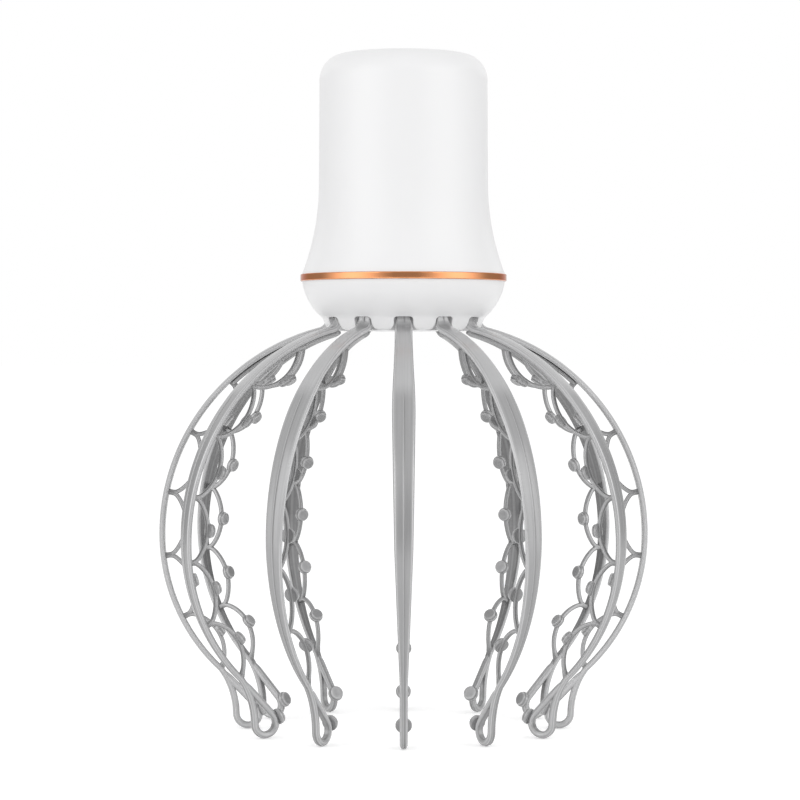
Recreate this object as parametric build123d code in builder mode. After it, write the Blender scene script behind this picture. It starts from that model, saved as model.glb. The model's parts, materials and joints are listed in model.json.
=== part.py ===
from build123d import *
from math import acos, atan2, cos, degrees, radians, sin, sqrt
import os

# Electric scalp massager: a bell-shaped grip that stands on twelve springy claws with massage beads.
# Millimetres. The origin is on the floor under the middle, +Z up, and the first claw points to -Y.

# ---- claw, drawn in its own plane: distance from the axis, height above the floor ----
claw_count = 12
first_claw = -90.0  # degrees
belly_radius = 88.0  # furthest reach of the spine's outer face
belly_height = 70.0
lower_bow = 67.0  # bend radius of the spine below the belly
neck_radius = 27.9  # outer face of the upright neck
neck_length = 3.0  # from the pivots down to the middle of the ankle bend
ankle_bend = 3.4  # bend radius between the neck and the spine
spine_thickness = 2.05
neck_width = 6.2
shoulder_width = 8.0
shoulder_drop = 34.8  # from the pivots down to the widest place
belly_width = 6.4
tip_width = 2.8
tip_height = 22.0  # the spine is this narrow from here down
rib_thickness = 1.7
rib_width = 3.2
rib_drop = 5.6  # from the pivots down to the rib's free end

# ---- arches with beads inside the spine ----
arch_count = 6
arch_room = 14.1  # along the spine's outer face, from the ankle bend to the first arch
fork_drop = 55.3  # and from the belly down to the end of the last one
arch_depth = 9.5  # from the spine's outer face to an arch's middle
stem_depth = 4.4  # and to the joints between the arches
arch_rod = 1.5
stem_rod = 1.7
rod_width = 1.7
bead_diameter = 5.2
bead_thickness = 2.3
bead_offset = 0.9  # from the rod's centre line to the bead's middle
bead_sides = 12
bead_round = 0.5  # width of the slope round its face
bead_edge = 0.45  # height of the straight rim above the bead's middle

# ---- teardrop loop at the tip ----
loop_radius = 4.2  # to the rod's centre line
loop_rod = 2.4
loop_inset = 31.9  # from the belly's reach in to the loop's centre
tip_bead_diameter = 5.7
tip_bead_turn = 158.0  # degrees round the loop
tip_bead_offset = 1.8

# ---- claw root: a barrel head in a split seat ----
pivot_height = 150.8
barrel_radius = 2.1
barrel_length = 9.0
running_clearance = 0.05
end_clearance = 0.2
swing_room = 0.8  # room outside the neck for its swing
rib_room = 4.6  # room inside the neck's outer face for the rib and its swing

# ---- lower housing ----
wall = 2.2
skirt_drop = 7.5  # from the pivots down to the skirt's foot
notch_drop = 2.7  # from the pivots down to the tops of the notches
seam_rise = 10.5  # from the pivots up to the seam
rim_radius = 36.5
dome_step = 1.4  # from the necks out to the dome at the tops of the notches
dome_bulge = 1.4
dome_blend = 4.0  # bend radius where the dome runs down into the skirt
foot_step = 0.4  # from the necks' outer faces in to the skirt's foot
foot_round = 1.3
notch_width = 6.8
notch_round = 1.2
notch_flare = 2.6
seat_step = 2.0  # from the necks out to the edge of the seats
opening_step = 6.5  # from the necks in to the wall of the opening
ledge_width = 2.8
ledge_thickness = 2.0
cover_thickness = 2.6
cover_boss_height = 4.0
spigot_step = 2.3  # from the rim in to the spigot
spigot_wall = 1.2
spigot_height = 5.0
rim_depth = 3.3

# ---- upper housing ----
ring_height = 2.1
ring_step = 0.25  # that the ring stands out from the rim
ring_chamfer = 0.25
bell_step = 0.1  # that the bell's foot stands out from the rim
grip_radius = 30.4
grip_taper = 0.25  # that the grip narrows from the flare up to the shoulder
flare_step = 1.6  # that the flare stands out from the grip half way up
flare_height = 32.5
grip_height = 79.5
shoulder_bend = 9.0
crown_drop = 0.9
crown_radius = 15.5  # outer edge of the flat round the button
slip_clearance = 0.15

# ---- button, light ring and switch ----
button_radius = 10.8
button_gap = 0.25
button_sink = 0.4  # from the crown down to the button's rim
button_height = 4.2  # from its rim to the underside of its flange
button_rim = 0.4
button_dish = 0.6
dish_slope = 3.5  # from the cap's side in to the floor of its dish
button_travel = 0.5
flange_thickness = 1.0
flange_reach = 1.5
light_width = 2.0
light_sink = 0.15
stem_radius = 2.5
stem_length = 1.8
plunger_radius = 1.6
plunger_height = 1.6  # that shows above the switch
plunger_bore = 2.4
switch_size = 6.2
switch_height = 3.6
switch_board_radius = 16.0
board_thickness = 1.6

# ---- motor, weight and battery ----
motor_radius = 12.2
motor_length = 25.5
motor_boss_radius = 3.0
motor_boss_height = 1.8
motor_rise = 9.2  # from the pivots up to the motor's face
shaft_radius = 1.5
shaft_reach = 10.5  # below the motor's face
weight_radius = 9.5
weight_height = 6.5
weight_hub_radius = 3.4
battery_radius = 9.2
battery_length = 35.0
terminal_radius = 3.0
terminal_height = 0.8
frame_wall = 1.6
frame_plate = 2.0
frame_step = 1.0  # that the frame reaches out past the opening
frame_edge = 0.4  # and past the rails it carries
window_width = 12.0
window_height = 18.0
window_round = 3.0
shaft_floor = 1.0  # left of the can above its bore
shaft_tip = 0.5  # shows below the weight
motor_chamfer = 0.6
battery_chamfer = 0.6
press_clearance = 0.02
fit_clearance = 0.1

# ---- circuit board and charging port ----
board_width = 24.0
board_length = 60.0
board_place = 22.0  # from the axis to the board's face
rail_place = 8.0
rail_thickness = 2.0
port_rise = 18.7  # from the seam up to the port
port_width = 9.0
port_height = 3.3
port_wall = 0.35
port_tongue = 0.7
port_inset = 1.2  # from the shell to the tongue's side
port_corner = 1.6
port_gap = 0.35
port_reach = 0.7  # from the grip's radius out to the socket's mouth
board_rise = 4.0

# ---- fasteners ----
screw_count = 3
boss_radius = 3.4
boss_bite = 0.3  # that a boss runs into the wall of the opening
housing_screw_turn = 30.0  # degrees
cover_screw_turn = 90.0
retainer_screw_turn = 15.0
shank_radius = 1.1
thread_clearance = 0.03
head_radius = 2.1
head_height = 1.6
thread_grip = 8.0
cover_chamfer = 0.4
retainer_height = 3.8
retainer_gap = 0.1
retainer_wall = 2.6  # between a barrel and the retainer's edge
gasket_height = 0.6
boss_length = 18.0
gusset_height = 8.0
gusset_thickness = 2.0

# ---- heights and places that follow from the sizes above ----
belly_in = belly_radius - neck_radius - ankle_bend
belly_down = pivot_height - neck_length - belly_height
upper_bow = (belly_in**2 + belly_down**2 - ankle_bend**2) / (2 * (ankle_bend + belly_in))
ankle_turn = atan2(belly_down, upper_bow - belly_in)
arch_start = upper_bow * ankle_turn - arch_room
arch_pitch = (arch_start + fork_drop) / arch_count
shoulder_height = pivot_height - shoulder_drop
rib_top = pivot_height - rib_drop
loop_place = belly_radius - loop_inset
notch_top = pivot_height - notch_drop
skirt_foot = pivot_height - skirt_drop
cover_top = skirt_foot + cover_thickness
ledge_top = cover_top + ledge_thickness
dome_radius = neck_radius + dome_step
foot_radius = neck_radius - foot_step
seat_radius = neck_radius + seat_step
opening_radius = neck_radius - opening_step
ledge_radius = opening_radius - ledge_width
frame_radius = max(opening_radius + frame_step, board_place + frame_edge)
spigot_radius = rim_radius - spigot_step
ring_radius = rim_radius + ring_step
bell_radius = rim_radius + bell_step
shoulder_radius = grip_radius - grip_taper
flare_middle = grip_radius + flare_step
seam = pivot_height + seam_rise
ring_top = seam + ring_height
crown = ring_top + grip_height
motor_face = pivot_height + motor_rise
motor_top = motor_face + motor_length
plate_bottom = motor_face - frame_plate
battery_floor = motor_top + frame_plate
barrel_place = neck_radius - spine_thickness / 2
port_centre = seam + port_rise
button_top = crown - button_sink
flange_bottom = button_top - button_height
plunger_top = flange_bottom - stem_length
switch_bottom = plunger_top - plunger_height - switch_height
switch_board_bottom = switch_bottom - board_thickness
shaft_bottom = motor_face - shaft_reach
light_inner = button_radius + button_gap
screw_ring = opening_radius + boss_bite - boss_radius
socket_mouth = grip_radius + port_reach
claw_turns = [first_claw + i * 360 / claw_count for i in range(claw_count)]

os.makedirs("parts", exist_ok=True)


def radial_plane(turn, place, height):
    """A plane this far out from the axis that faces straight outwards."""
    outward = Vector(1, 0, 0).rotate(Axis.Z, turn)
    return Plane(outward * place + (0, 0, height), x_dir=outward.rotate(Axis.Z, 90), z_dir=outward)


def tangent_plane(turn, place, height):
    """A plane this far out from the axis that faces along the circle round it."""
    outward = Vector(1, 0, 0).rotate(Axis.Z, turn)
    return Plane(outward * place + (0, 0, height), x_dir=outward, z_dir=outward.rotate(Axis.Z, 90))


# ================================ claw ================================
def spine_point(reach, depth):
    """The place this far along the spine from its belly, up or down, and this deep under its outer face."""
    bow = upper_bow if reach > 0 else lower_bow
    turn = reach / bow
    return (belly_radius - bow + (bow - depth) * cos(turn), belly_height + (bow - depth) * sin(turn))


def spine_line(depth, top, bottom):
    """The spine's line at one depth: down the neck, round the ankle and along the bow to a reach."""
    upper = (belly_radius - upper_bow, belly_height)
    ankle = (neck_radius + ankle_bend, pivot_height - neck_length)
    upper_start = degrees(ankle_turn)
    upper_end = max(degrees(bottom / upper_bow), 0)
    if top > ankle[1]:
        Line((neck_radius - depth, top), (neck_radius - depth, ankle[1]))
    rise = max(ankle[1] - top, 0)
    ankle_start = degrees(atan2(rise, sqrt((ankle_bend + depth) ** 2 - rise**2)))
    CenterArc(ankle, ankle_bend + depth, 180 + ankle_start, upper_start - ankle_start)
    CenterArc(upper, upper_bow - depth, upper_start, upper_end - upper_start)
    if bottom < 0:
        CenterArc((belly_radius - lower_bow, belly_height), lower_bow - depth, 0, degrees(bottom / lower_bow))


def rod(start, middle, end, thickness):
    """A rod of even thickness bent through three places, in the sketch that is open."""
    with BuildLine() as path:
        ThreePointArc(start, middle, end)
    trace(path.line, line_width=thickness)


def bead_plane(place, turn):
    """A plane through a bead's middle that faces the inside of the cage."""
    return Plane(origin=(place[0], 0, place[1]), x_dir=(0, 1, 0), z_dir=(-cos(turn), 0, -sin(turn)))


def bead(diameter):
    """A puck with a sloped rim round the face that looks into the cage."""
    with BuildPart() as form:
        with BuildSketch():
            RegularPolygon(diameter / 2, bead_sides, rotation=180 / bead_sides)
        extrude(amount=bead_thickness / 2, both=True)
        chamfer(form.edges().group_by(Axis.Z)[-1], bead_thickness / 2 - bead_edge, bead_round)
    return form.part


fork_place = spine_point(-fork_drop, spine_thickness / 2)
joint_depths = [spine_thickness + rib_thickness / 2] + [stem_depth] * (arch_count - 1) + [spine_thickness / 2]
joints = [spine_point(arch_start - i * arch_pitch, depth) for i, depth in enumerate(joint_depths)]
middles = [arch_start - (i + 0.5) * arch_pitch for i in range(arch_count)]

arch_bead = bead(bead_diameter)
tip_bead = bead(tip_bead_diameter)

with BuildPart() as claw_form:
    # Spine: an even band in side view, cut to its width in front view
    with BuildSketch(Plane.XZ):
        with BuildLine():
            spine_line(spine_thickness / 2, pivot_height, -fork_drop)
        trace(line_width=spine_thickness)
    extrude(amount=shoulder_width, both=True)
    with BuildSketch(Plane.YZ):
        with BuildLine():
            Polyline(
                (0, pivot_height),
                (neck_width / 2, pivot_height),
                (neck_width / 2, rib_top - ankle_bend),
                (shoulder_width / 2, shoulder_height),
                (belly_width / 2, belly_height),
                (tip_width / 2, tip_height),
                (tip_width / 2, 0),
                (0, 0),
            )
            mirror(about=Plane.YZ)
        make_face()
    extrude(amount=belly_radius, mode=Mode.INTERSECT)

    # Rib under the neck and the shoulder
    with BuildSketch(Plane.XZ):
        with BuildLine():
            spine_line(spine_thickness + rib_thickness / 2, rib_top, arch_start - arch_pitch)
        trace(line_width=rib_thickness)
    extrude(amount=rib_width / 2, both=True)

    # Arches and the stems that carry their joints
    with BuildSketch(Plane.XZ):
        for i, middle in enumerate(middles):
            rod(joints[i], spine_point(middle, arch_depth), joints[i + 1], arch_rod)
        for i in range(1, arch_count):
            with BuildLine():
                Line(joints[i], spine_point(arch_start - i * arch_pitch, spine_thickness / 2))
            trace(line_width=stem_rod)
    extrude(amount=rod_width / 2, both=True)

    # Teardrop loop: down from the fork, round the bottom and straight back up
    loop_height = loop_radius + loop_rod / 2
    across, up = fork_place[0] - loop_place, fork_place[1] - loop_height
    back_turn = degrees(atan2(up, across) + acos(loop_radius / sqrt(across**2 + up**2)))
    with BuildSketch(Plane.XZ):
        with BuildLine():
            TangentArc((loop_place + loop_radius, loop_height), fork_place, tangent=(0, 1))
            bottom = CenterArc((loop_place, loop_height), loop_radius, 0, back_turn - 360)
            Line(bottom @ 1, fork_place)
        trace(line_width=loop_rod)
    extrude(amount=tip_width / 2, both=True)

    # Beads: one on each arch and one on the loop
    tip_reach = loop_radius + tip_bead_offset
    tip_turn = radians(tip_bead_turn)
    tip_place = (loop_place + tip_reach * cos(tip_turn), loop_height + tip_reach * sin(tip_turn))
    with Locations(bead_plane(tip_place, tip_turn + radians(180))):
        add(tip_bead)
    for middle in middles:
        bow = upper_bow if middle > 0 else lower_bow
        with Locations(bead_plane(spine_point(middle, arch_depth + bead_offset), middle / bow)):
            add(arch_bead)

    # Barrel head
    with BuildSketch(Plane.XZ):
        with Locations((barrel_place, pivot_height)):
            Circle(barrel_radius)
    extrude(amount=barrel_length / 2, both=True)

for number, turn in enumerate(claw_turns, start=1):
    with BuildPart() as claw:
        add(claw_form.part, rotation=(0, 0, turn))
    claw.part.label = f"claw_{number:02d}"
    export_step(claw.part, f"parts/{claw.part.label}.step")

# ================================ housings ================================
with BuildPart() as lower_housing:
    spigot_inner = spigot_radius - spigot_wall
    with BuildSketch(Plane.XZ) as bowl_side:
        with BuildLine():
            dome = SagittaArc((rim_radius, seam), (dome_radius, notch_top), dome_bulge)
            Polyline(
                dome @ 1,
                (foot_radius, skirt_foot),
                (opening_radius, skirt_foot),
                (opening_radius, cover_top),
                (ledge_radius, cover_top),
                (ledge_radius, ledge_top),
                (opening_radius, ledge_top),
                (opening_radius, pivot_height),
                (seat_radius, pivot_height),
                (spigot_inner, seam - rim_depth),
                (spigot_inner, seam + spigot_height),
                (spigot_radius, seam + spigot_height),
                (spigot_radius, seam),
                dome @ 0,
            )
        make_face()
        foot_corner = bowl_side.vertices().group_by(Axis.Y)[0].sort_by(Axis.X)[-1]
        fillet(foot_corner, foot_round)
        fillet(bowl_side.vertices().sort_by_distance((dome_radius, notch_top))[0], dome_blend)
    revolve(axis=Axis.Z)

    # Columns for the housing screws and bosses for the cover screws
    with BuildSketch(Plane.XY.offset(cover_top)):
        with PolarLocations(screw_ring, screw_count, start_angle=housing_screw_turn):
            Circle(boss_radius)
    extrude(amount=plate_bottom - cover_top)
    with BuildSketch(Plane.XY.offset(cover_top)):
        with PolarLocations(screw_ring, screw_count, start_angle=cover_screw_turn):
            Circle(boss_radius)
    extrude(amount=cover_boss_height)

    # Throats that the necks hang in
    throat_inner = neck_radius - rib_room
    throat_outer = neck_radius + swing_room
    with BuildSketch(Plane.XY.offset(skirt_foot)):
        with PolarLocations(throat_inner, claw_count, start_angle=first_claw):
            Rectangle(throat_outer - throat_inner, notch_width, align=(Align.MIN, Align.CENTER))
    extrude(amount=pivot_height - skirt_foot, mode=Mode.SUBTRACT)

    # Notches that the necks leave by, and the lower halves of the barrels' seats
    for turn in claw_turns:
        with BuildSketch(radial_plane(turn, throat_inner, skirt_foot)):
            with BuildLine():
                half = notch_width / 2
                top = notch_top - skirt_foot
                Line((0, top), (half - notch_round, top))
                corner = JernArc((half - notch_round, top), (1, 0), notch_round, -90)
                side = Line(corner @ 1, (half, notch_flare))
                flare = JernArc(side @ 1, (0, -1), notch_flare, 90)
                Polyline(flare @ 1, flare @ 1 - (0, foot_round), (0, -foot_round))
                mirror(about=Plane.YZ)
            make_face()
        extrude(amount=rim_radius, mode=Mode.SUBTRACT)
        with BuildSketch(tangent_plane(turn, barrel_place, pivot_height)):
            Circle(barrel_radius + running_clearance)
        extrude(amount=barrel_length / 2 + end_clearance, both=True, mode=Mode.SUBTRACT)

    # Screw holes
    with BuildSketch(Plane.XY.offset(cover_top)):
        with PolarLocations(screw_ring, screw_count, start_angle=housing_screw_turn):
            Circle(shank_radius + fit_clearance)
        with PolarLocations(screw_ring, screw_count, start_angle=cover_screw_turn):
            Circle(shank_radius + thread_clearance)
        with PolarLocations(barrel_place, screw_count, start_angle=retainer_screw_turn):
            Circle(shank_radius + thread_clearance)
    extrude(amount=plate_bottom - cover_top, mode=Mode.SUBTRACT)
    with BuildSketch(Plane.XY.offset(cover_top)):
        with PolarLocations(screw_ring, screw_count, start_angle=housing_screw_turn):
            Circle(head_radius + fit_clearance)
    extrude(amount=head_height, mode=Mode.SUBTRACT)
lower_housing.part.label = "lower_housing"
export_step(lower_housing.part, "parts/lower_housing.step")

with BuildPart() as bottom_cover:
    with BuildSketch(Plane.XY.offset(skirt_foot)):
        Circle(opening_radius - fit_clearance)
    extrude(amount=cover_thickness)
    chamfer(bottom_cover.edges().group_by(Axis.Z)[0], cover_chamfer)
    with BuildSketch(Plane.XY.offset(skirt_foot)):
        with PolarLocations(screw_ring, screw_count, start_angle=cover_screw_turn):
            Circle(shank_radius + fit_clearance)
    extrude(amount=cover_thickness, mode=Mode.SUBTRACT)
    with BuildSketch(Plane.XY.offset(skirt_foot)):
        with PolarLocations(screw_ring, screw_count, start_angle=cover_screw_turn):
            Circle(head_radius + fit_clearance)
    extrude(amount=head_height, mode=Mode.SUBTRACT)
bottom_cover.part.label = "bottom_cover"
export_step(bottom_cover.part, "parts/bottom_cover.step")

with BuildPart() as claw_retainer:
    retainer_bottom = pivot_height + retainer_gap
    with BuildSketch(Plane.XY.offset(retainer_bottom)):
        Circle(barrel_place + retainer_wall)
        Circle(barrel_place - barrel_radius - retainer_wall / 2, mode=Mode.SUBTRACT)
        with PolarLocations(barrel_place, screw_count, start_angle=retainer_screw_turn):
            Circle(shank_radius + fit_clearance, mode=Mode.SUBTRACT)
    extrude(amount=retainer_height)
    for turn in claw_turns:
        with BuildSketch(tangent_plane(turn, barrel_place, pivot_height)):
            Circle(barrel_radius + running_clearance)
        extrude(amount=barrel_length / 2 + end_clearance, both=True, mode=Mode.SUBTRACT)
claw_retainer.part.label = "claw_retainer"
export_step(claw_retainer.part, "parts/claw_retainer.step")

with BuildPart() as trim_ring:
    with BuildSketch(Plane.XY.offset(seam)):
        Circle(ring_radius)
        Circle(spigot_radius + fit_clearance, mode=Mode.SUBTRACT)
    extrude(amount=ring_height)
    chamfer(trim_ring.edges().filter_by(GeomType.CIRCLE).sort_by(SortBy.RADIUS)[-2:], ring_chamfer)
trim_ring.part.label = "trim_ring"
export_step(trim_ring.part, "parts/trim_ring.step")

with BuildPart() as seam_gasket:
    with BuildSketch(Plane.XY.offset(seam + spigot_height)):
        Circle(spigot_radius)
        Circle(spigot_radius - spigot_wall, mode=Mode.SUBTRACT)
    extrude(amount=gasket_height)
seam_gasket.part.label = "seam_gasket"
export_step(seam_gasket.part, "parts/seam_gasket.step")

with BuildPart() as upper_housing:
    # Bell: a gripping wall that flares to the seam, under a softly domed crown
    with BuildSketch(Plane.XZ) as bell_side:
        with BuildLine():
            brow = Polyline((0, crown), (crown_radius, crown), (shoulder_radius, crown - crown_drop))
            grip = Line(brow @ 1, (grip_radius, ring_top + flare_height))
            TangentArc(grip @ 1, (bell_radius, ring_top), tangent=grip % 1)
            Polyline((bell_radius, ring_top), (0, ring_top), (0, crown))
        make_face()
        fillet(bell_side.vertices().sort_by_distance((shoulder_radius, crown))[0], shoulder_bend)
    revolve(axis=Axis.Z)

    # Cavity: straight inside the grip, and wider over the flare down to the seam
    with BuildSketch(Plane.XZ):
        with BuildLine():
            Polyline(
                (0, ring_top),
                (bell_radius - wall, ring_top),
                (flare_middle - wall, ring_top + flare_height / 2),
                (grip_radius - wall, ring_top + flare_height),
                (shoulder_radius - wall, crown - shoulder_bend),
                (crown_radius, crown - wall),
                (0, crown - wall),
                close=True,
            )
        make_face()
    revolve(axis=Axis.Z, mode=Mode.SUBTRACT)

    # Recess for the spigot, and the hole for the button
    with BuildSketch(Plane.XY.offset(ring_top)):
        Circle(spigot_radius + slip_clearance)
    extrude(amount=spigot_height - ring_height + gasket_height, mode=Mode.SUBTRACT)
    with BuildSketch(Plane.XY.offset(crown)):
        Circle(light_inner + light_width + fit_clearance)
    extrude(amount=-2 * wall, mode=Mode.SUBTRACT)

    # Screw bosses with gussets to the wall
    boss_bottom = motor_face + frame_plate
    gusset_length = grip_radius + wall / 2 - screw_ring
    with BuildSketch(Plane.XY.offset(boss_bottom)):
        with PolarLocations(screw_ring, screw_count, start_angle=housing_screw_turn):
            Circle(boss_radius)
    extrude(amount=boss_length)
    with BuildSketch(Plane.XY.offset(boss_bottom + boss_length)):
        with PolarLocations(screw_ring, screw_count, start_angle=housing_screw_turn):
            Rectangle(gusset_length, gusset_thickness, align=(Align.MIN, Align.CENTER))
    extrude(amount=-gusset_height)
    with BuildSketch(Plane.XY.offset(boss_bottom)):
        with PolarLocations(screw_ring, screw_count, start_angle=housing_screw_turn):
            Circle(shank_radius + thread_clearance)
    extrude(amount=thread_grip, mode=Mode.SUBTRACT)

    # Charging port
    with BuildSketch(Plane.XZ.offset(-board_place)):
        with Locations((0, port_centre)):
            RectangleRounded(port_width + 2 * port_gap, port_height + 2 * port_gap, port_height / 2)
    extrude(amount=-rim_radius, mode=Mode.SUBTRACT)
upper_housing.part.label = "upper_housing"
export_step(upper_housing.part, "parts/upper_housing.step")

# ================================ inside the grip ================================
with BuildPart() as motor_plate:
    with BuildSketch(Plane.XY.offset(plate_bottom)):
        Circle(frame_radius)
        Circle(motor_boss_radius + fit_clearance, mode=Mode.SUBTRACT)
        with PolarLocations(screw_ring, screw_count, start_angle=housing_screw_turn):
            Circle(shank_radius + fit_clearance, mode=Mode.SUBTRACT)
    extrude(amount=frame_plate)
motor_plate.part.label = "motor_plate"
export_step(motor_plate.part, "parts/motor_plate.step")

with BuildPart() as inner_frame:
    # Flange, sleeves round the motor and the battery, and a seat for the switch board
    sleeve_radius = motor_radius + fit_clearance + frame_wall
    seat_bottom = switch_board_bottom - frame_plate
    with BuildSketch(Plane.XY.offset(motor_face)):
        Circle(frame_radius)
        with PolarLocations(screw_ring, screw_count, start_angle=housing_screw_turn):
            Circle(shank_radius + fit_clearance, mode=Mode.SUBTRACT)
    extrude(amount=frame_plate)
    with BuildSketch(Plane.XY.offset(motor_face)):
        Circle(sleeve_radius)
    extrude(amount=battery_floor - motor_face)
    with BuildSketch(Plane.XY.offset(battery_floor)):
        Circle(battery_radius + fit_clearance + frame_wall)
    extrude(amount=seat_bottom - battery_floor)
    with BuildSketch(Plane.XY.offset(seat_bottom)):
        Circle(switch_board_radius)
    extrude(amount=frame_plate)

    # Rails that carry the main board at the back
    with BuildSketch(Plane.XY.offset(motor_face)):
        with Locations((-rail_place, board_place), (rail_place, board_place)):
            Rectangle(rail_thickness, board_place, align=(Align.CENTER, Align.MAX))
    extrude(amount=seat_bottom - motor_face)

    # Room for the motor, and for the battery and its pad
    with BuildSketch(Plane.XY.offset(motor_face)):
        Circle(motor_radius + fit_clearance)
    extrude(amount=motor_length, mode=Mode.SUBTRACT)
    with BuildSketch(Plane.XY.offset(battery_floor)):
        Circle(battery_radius + fit_clearance)
    extrude(amount=switch_board_bottom - battery_floor, mode=Mode.SUBTRACT)

    # Windows in the front of both sleeves
    with BuildSketch(Plane.XZ):
        with Locations((0, motor_face + motor_length / 2), (0, battery_floor + battery_length / 2)):
            RectangleRounded(window_width, window_height, window_round)
    extrude(amount=sleeve_radius, mode=Mode.SUBTRACT)
inner_frame.part.label = "inner_frame"
export_step(inner_frame.part, "parts/inner_frame.step")

with BuildPart() as motor_can:
    with BuildSketch(Plane.XY.offset(motor_face)):
        Circle(motor_radius)
    extrude(amount=motor_length)
    chamfer(motor_can.edges().filter_by(GeomType.CIRCLE), motor_chamfer)
    with BuildSketch(Plane.XY.offset(motor_face)):
        Circle(motor_boss_radius)
    extrude(amount=-motor_boss_height)
    with BuildSketch(Plane.XY.offset(motor_face - motor_boss_height)):
        Circle(shaft_radius + running_clearance)
    extrude(amount=motor_boss_height + motor_length - shaft_floor, mode=Mode.SUBTRACT)
motor_can.part.label = "motor_can"
export_step(motor_can.part, "parts/motor_can.step")

with BuildPart() as motor_shaft:
    with BuildSketch(Plane.XY.offset(shaft_bottom)):
        Circle(shaft_radius)
    extrude(amount=motor_top - shaft_floor - end_clearance - shaft_bottom)
motor_shaft.part.label = "motor_shaft"
export_step(motor_shaft.part, "parts/motor_shaft.step")

with BuildPart() as eccentric_weight:
    with BuildSketch(Plane.XY.offset(shaft_bottom + shaft_tip)):
        Circle(weight_radius)
        with Locations((0, weight_hub_radius / 2)):
            Rectangle(2 * weight_radius, weight_radius, align=(Align.CENTER, Align.MIN), mode=Mode.SUBTRACT)
        Circle(weight_hub_radius)
        Circle(shaft_radius + press_clearance, mode=Mode.SUBTRACT)
    extrude(amount=weight_height)
eccentric_weight.part.label = "eccentric_weight"
export_step(eccentric_weight.part, "parts/eccentric_weight.step")

with BuildPart() as battery_cell:
    with BuildSketch(Plane.XY.offset(battery_floor)):
        Circle(battery_radius)
    extrude(amount=battery_length)
    chamfer(battery_cell.edges().filter_by(GeomType.CIRCLE), battery_chamfer)
    with BuildSketch(Plane.XY.offset(battery_floor + battery_length)):
        Circle(terminal_radius)
    extrude(amount=terminal_height)
battery_cell.part.label = "battery_cell"
export_step(battery_cell.part, "parts/battery_cell.step")

with BuildPart() as battery_pad:
    with BuildSketch(Plane.XY.offset(battery_floor + battery_length + terminal_height)):
        Circle(battery_radius - fit_clearance)
    extrude(amount=switch_board_bottom - battery_floor - battery_length - terminal_height)
battery_pad.part.label = "battery_pad"
export_step(battery_pad.part, "parts/battery_pad.step")

with BuildPart() as main_board:
    with BuildSketch(Plane.XZ.offset(-board_place)):
        with Locations((0, motor_face + board_rise)):
            Rectangle(board_width, board_length, align=(Align.CENTER, Align.MIN))
    extrude(amount=-board_thickness)
main_board.part.label = "main_board"
export_step(main_board.part, "parts/main_board.step")

with BuildPart() as charging_socket:
    # Pressed shell with its mouth just inside the housing's wall, and a tongue in the middle
    socket_base = board_place + board_thickness
    with BuildSketch(Plane.XZ.offset(-socket_base)):
        with Locations((0, port_centre)):
            RectangleRounded(port_width, port_height, port_corner)
    extrude(amount=socket_base - socket_mouth)
    with BuildSketch(Plane.XZ.offset(-socket_base - port_wall)):
        with Locations((0, port_centre)):
            RectangleRounded(port_width - 2 * port_wall, port_height - 2 * port_wall, port_corner - port_wall)
            Rectangle(port_width - 2 * port_inset, port_tongue, mode=Mode.SUBTRACT)
    extrude(amount=socket_base - socket_mouth, mode=Mode.SUBTRACT)
charging_socket.part.label = "charging_socket"
export_step(charging_socket.part, "parts/charging_socket.step")

# ================================ button and switch ================================
with BuildPart() as switch_board:
    with BuildSketch(Plane.XY.offset(switch_board_bottom)):
        Circle(switch_board_radius)
    extrude(amount=board_thickness)
switch_board.part.label = "switch_board"
export_step(switch_board.part, "parts/switch_board.step")

with BuildPart() as switch_body:
    with BuildSketch(Plane.XY.offset(switch_bottom)):
        Rectangle(switch_size, switch_size)
    extrude(amount=switch_height)
    with BuildSketch(Plane.XY.offset(switch_bottom + switch_height)):
        Circle(plunger_radius + running_clearance)
    extrude(amount=-plunger_bore, mode=Mode.SUBTRACT)
switch_body.part.label = "switch_body"
export_step(switch_body.part, "parts/switch_body.step")

with BuildPart() as switch_plunger:
    with BuildSketch(Plane.XY.offset(plunger_top)):
        Circle(plunger_radius)
    extrude(amount=-plunger_height - plunger_bore + button_travel + end_clearance)
switch_plunger.part.label = "switch_plunger"
export_step(switch_plunger.part, "parts/switch_plunger.step")

with BuildPart() as power_button:
    # Cap with a dished top, a flange that holds it in and a stem down to the switch
    with BuildSketch(Plane.XZ):
        with BuildLine():
            Polyline(
                (0, button_top - button_dish),
                (button_radius - dish_slope, button_top - button_dish),
                (button_radius - button_rim, button_top),
                (button_radius, button_top - button_rim),
                (button_radius, flange_bottom + flange_thickness),
                (button_radius + flange_reach, flange_bottom + flange_thickness),
                (button_radius + flange_reach, flange_bottom),
                (stem_radius, flange_bottom),
                (stem_radius, plunger_top),
                (0, plunger_top),
                close=True,
            )
        make_face()
    revolve(axis=Axis.Z)
power_button.part.label = "power_button"
export_step(power_button.part, "parts/power_button.step")

with BuildPart() as light_ring:
    # Clear band round the button, with a flange that is glued under the crown
    with BuildSketch(Plane.XZ):
        with BuildLine():
            Polyline(
                (light_inner, crown - light_sink),
                (light_inner + light_width, crown - light_sink),
                (light_inner + light_width, crown - wall),
                (light_inner + light_width + flange_reach, crown - wall),
                (light_inner + light_width + flange_reach, crown - wall - flange_thickness),
                (light_inner, crown - wall - flange_thickness),
                close=True,
            )
        make_face()
    revolve(axis=Axis.Z)
light_ring.part.label = "light_ring"
export_step(light_ring.part, "parts/light_ring.step")

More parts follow.
